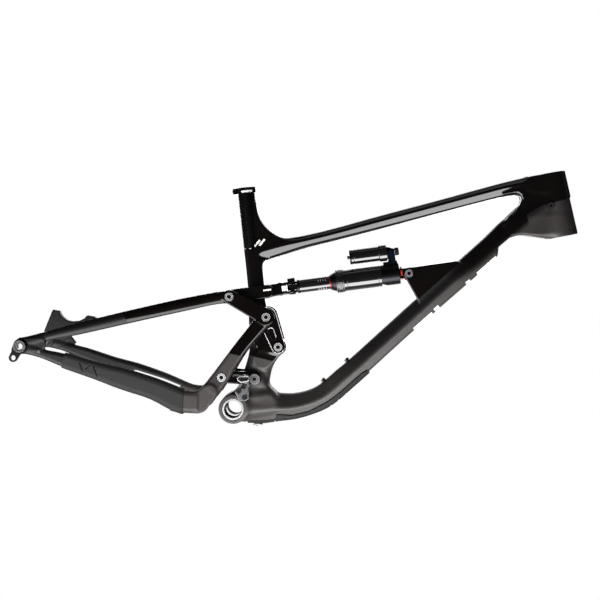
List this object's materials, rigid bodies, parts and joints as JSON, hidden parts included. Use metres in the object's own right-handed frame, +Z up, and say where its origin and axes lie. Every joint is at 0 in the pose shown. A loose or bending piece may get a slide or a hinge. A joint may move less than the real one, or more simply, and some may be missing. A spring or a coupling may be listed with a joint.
{
  "type": "full-suspension bicycle frame",
  "caption": "Black carbon full-suspension mountain-bike frame with short-link rear swingarm, shock yoke and a piggyback air shock that strokes as the rear end rises.",
  "frame": {"origin": "centre of the bottom-bracket shell", "axes": "+X forward towards the head tube, +Y to the rider's left, +Z up, riding attitude"},
  "size_m": [1.0501, 0.175, 0.6668],
  "materials": {
    "carbon": "clear-coated and matte black carbon composite",
    "bare_alloy": "machined",
    "black_alloy": "black anodised",
    "silver_bolt": "plain",
    "black_bolt": "blackened",
    "rubber": "matte moulded",
    "shaft_black": "hard anodised, polished",
    "can_black": "gloss black anodised",
    "red_trim": "red anodised",
    "blue_trim": "blue anodised",
    "bronze": "sintered"
  },
  "bodies": {
    "front": {"front_triangle": "carbon", "bb_sleeve": "bare_alloy", "headset_seat_upper": "black_alloy", "headset_seat_lower": "black_alloy", "seat_post_insert": "black_alloy", "seat_clamp": "carbon", "seat_clamp_bolt": "silver_bolt", "downtube_guard": "rubber", "bb_cover": "rubber", "guard_screws": "silver_bolt", "bottle_bosses": "bare_alloy", "bottle_bolts": "black_bolt", "cable_grommets": "rubber", "guide_plate": "bare_alloy", "guide_cage": "bare_alloy", "guide_bolts": "silver_bolt", "rocker_axle": "silver_bolt", "rocker_axle_bolts": "silver_bolt", "link_axle": "silver_bolt", "link_axle_bolts": "silver_bolt", "shock_bolt": "silver_bolt"},
    "lower_link": {"lower_link": "carbon", "link_bearings_front": "bare_alloy", "link_bearings_rear": "bare_alloy"},
    "upper_link": {"rocker_right": "carbon", "rocker_left": "carbon", "rocker_bearings_front": "bare_alloy", "rocker_bearings_rear": "bare_alloy"},
    "swingarm": {"rear_triangle": "carbon", "derailleur_hanger": "black_alloy", "hanger_ring": "bare_alloy", "axle_insert_right": "bare_alloy", "axle_insert_left": "bare_alloy", "brake_inserts": "bare_alloy", "chainstay_guard": "rubber", "port_screw": "silver_bolt", "stay_axle": "silver_bolt", "stay_axle_bolts": "silver_bolt", "rocker_pins": "silver_bolt", "yoke_pins": "silver_bolt"},
    "shaft": {"shock_yoke": "carbon", "yoke_bearings": "bare_alloy", "yoke_bolt": "black_alloy", "shaft_end": "black_alloy", "shock_shaft": "shaft_black", "air_piston": "bare_alloy"},
    "travel_ring": {"travel_ring": "red_trim"},
    "shock_body": {"air_can": "can_black", "can_collar": "black_alloy", "seal_head": "black_alloy", "shock_head": "black_alloy", "eye_bushing": "bronze", "reservoir": "black_alloy", "reservoir_cap": "black_alloy", "fill_valve": "black_alloy"},
    "rebound_dial": {"rebound_dial": "red_trim"},
    "compression_lever": {"compression_lever": "blue_trim"},
    "compression_dial": {"compression_dial": "black_alloy"}
  },
  "joints": [
    {"name": "lower_link_pivot", "type": "hinge", "parent": "front", "child": "lower_link", "pos_m": [0.027, 0, 0.069], "axis": [0, 1, 0], "range_deg": [0, 31], "stiffness_Nm_per_rad": 500},
    {"name": "stay_pivot", "type": "hinge", "parent": "lower_link", "child": "swingarm", "pos_m": [-0.0375, 0, 0.058], "axis": [0, 1, 0], "range_deg": [-14.6, 0]},
    {"name": "upper_link_pivot", "type": "hinge", "parent": "front", "child": "upper_link", "pos_m": [0.058, 0, 0.1435], "axis": [0, 1, 0], "range_deg": [0, 36.9]},
    {"name": "shock_eye_pivot", "type": "hinge", "parent": "front", "child": "shock_body", "pos_m": [0.281, 0, 0.3525], "axis": [0, 1, 0], "range_deg": [0, 2.95]},
    {"name": "shock_stroke", "type": "slide", "parent": "shock_body", "child": "shaft", "axis": [0.9322, 0, 0.362], "range_m": [0, 0.0582]},
    {"name": "travel_ring_slide", "type": "slide", "parent": "shaft", "child": "travel_ring", "axis": [0.9322, 0, 0.362], "range_m": [-0.0582, 0]},
    {"name": "rebound_turn", "type": "hinge", "parent": "shock_body", "child": "rebound_dial", "pos_m": [0.26684, 0, 0.34915], "axis": [0.9322, 0, 0.362], "range_deg": [0, 320]},
    {"name": "lever_turn", "type": "hinge", "parent": "shock_body", "child": "compression_lever", "pos_m": [0.23607, 0, 0.38418], "axis": [0, 1, 0], "range_deg": [-80, 0]},
    {"name": "compression_turn", "type": "hinge", "parent": "shock_body", "child": "compression_dial", "pos_m": [0.24653, 0, 0.39039], "axis": [0.9322, 0, 0.362], "range_deg": [0, 320]}
  ],
  "couplings": [
    {"joint": "stay_pivot", "follows": "lower_link_pivot", "ratio": -0.47},
    {"joint": "upper_link_pivot", "follows": "lower_link_pivot", "ratio": 1.19},
    {"joint": "shock_eye_pivot", "follows": "lower_link_pivot", "ratio": 0.094},
    {"joint": "shock_stroke", "follows": "lower_link_pivot", "m_per_rad": 0.1074},
    {"joint": "travel_ring_slide", "follows": "lower_link_pivot", "m_per_rad": -0.1074}
  ]
}
